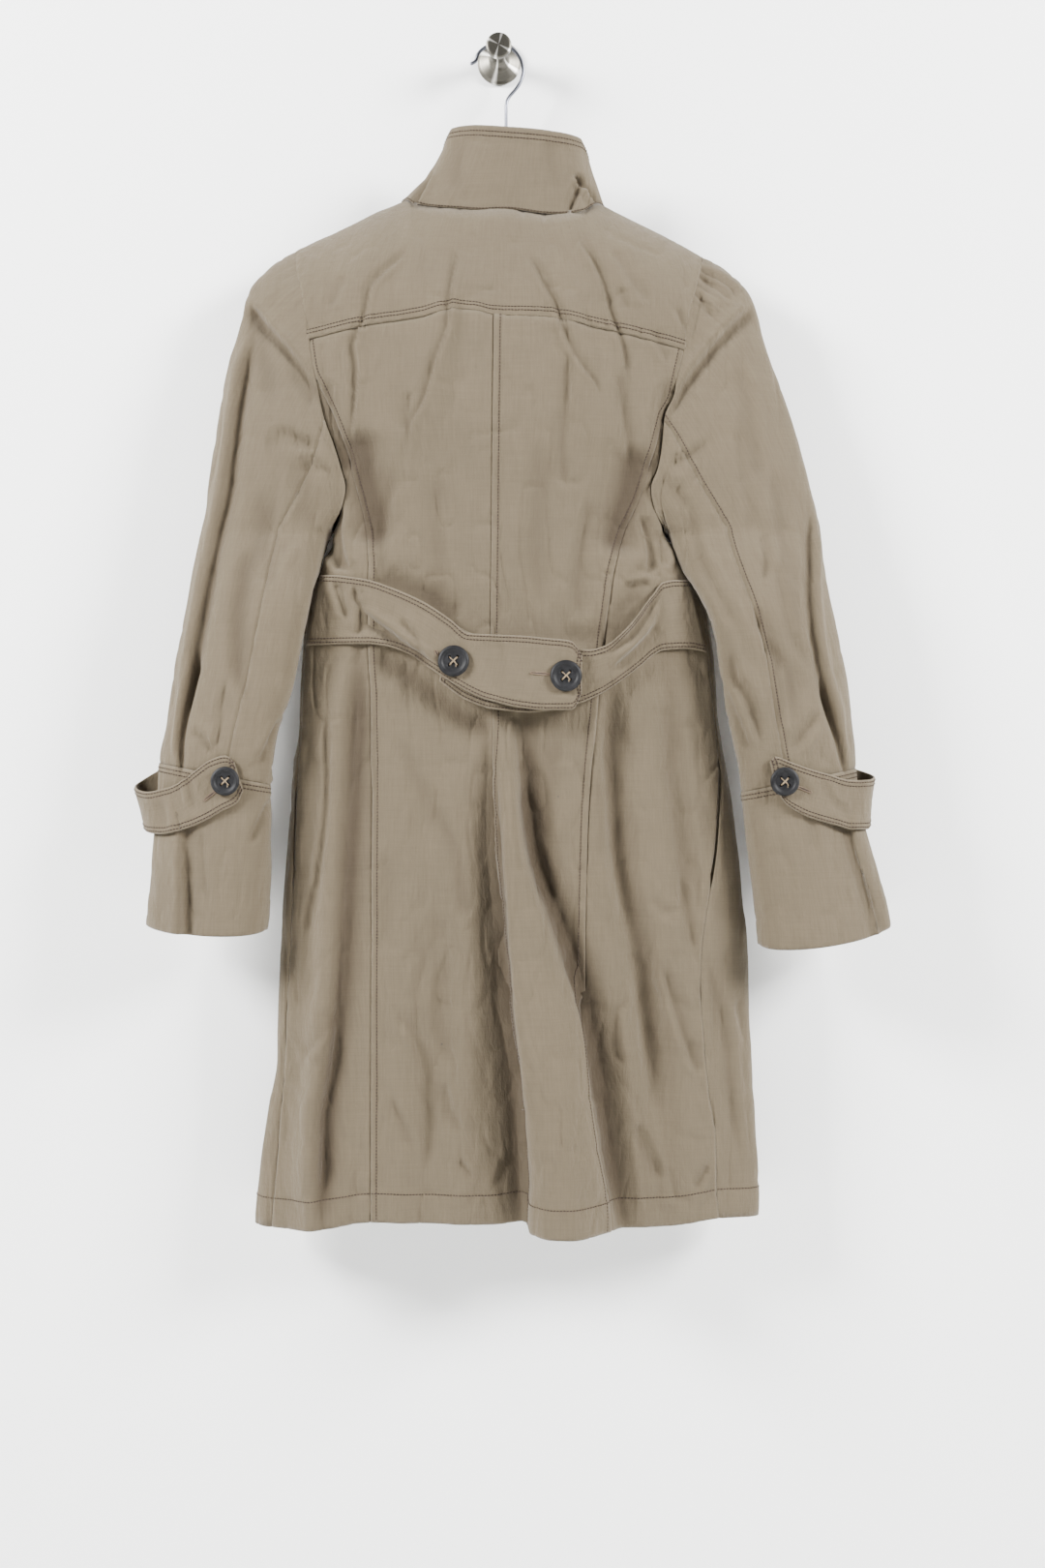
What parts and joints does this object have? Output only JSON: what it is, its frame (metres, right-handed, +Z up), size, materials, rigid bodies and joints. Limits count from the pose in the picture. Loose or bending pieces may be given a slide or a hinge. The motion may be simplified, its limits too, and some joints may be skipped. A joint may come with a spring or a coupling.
{
  "type": "trench coat on a wire hanger and wall hook",
  "caption": "Long-sleeved cotton trench coat hung by a wire hanger from a round steel wall hook, seen from the back, with a half belt, cuff tabs and a stand collar.",
  "frame": {"origin": "centre of the wall hook's flat back face, on the wall plane", "axes": "+Z up, +Y into the wall, +X to the right as seen facing the wall; the coat's back faces -Y"},
  "size_m": [0.701, 0.1157, 1.1333],
  "materials": {
    "coat_cotton": "taupe plain-weave cotton, matt, with worn edges",
    "button": "charcoal, semi-matt",
    "hanger_wire": "bright steel wire",
    "hanger_arms": "black moulded arms",
    "wall_hook_steel": "turned and brushed stainless steel"
  },
  "bodies": {
    "root": {"back_yoke": "coat_cotton", "centre_back_left": "coat_cotton", "centre_back_right": "coat_cotton", "collar": "coat_cotton", "front_left": "coat_cotton", "front_right": "coat_cotton", "side_back_left": "coat_cotton", "side_back_right": "coat_cotton", "top_sleeve_left": "coat_cotton", "top_sleeve_right": "coat_cotton", "under_sleeve_left": "coat_cotton", "under_sleeve_right": "coat_cotton", "cuff_left": "coat_cotton", "cuff_right": "coat_cotton", "cuff_tab_left": "coat_cotton", "cuff_tab_right": "coat_cotton", "belt_left": "coat_cotton", "belt_right": "coat_cotton", "pocket_facing_left": "coat_cotton", "pocket_facing_right": "coat_cotton", "belt_button_left": "button", "belt_button_right": "button", "cuff_button_left": "button", "cuff_button_right": "button", "hanger_hook": "hanger_wire", "hanger_arms": "hanger_arms", "wall_hook": "wall_hook_steel"}
  },
  "joints": []
}
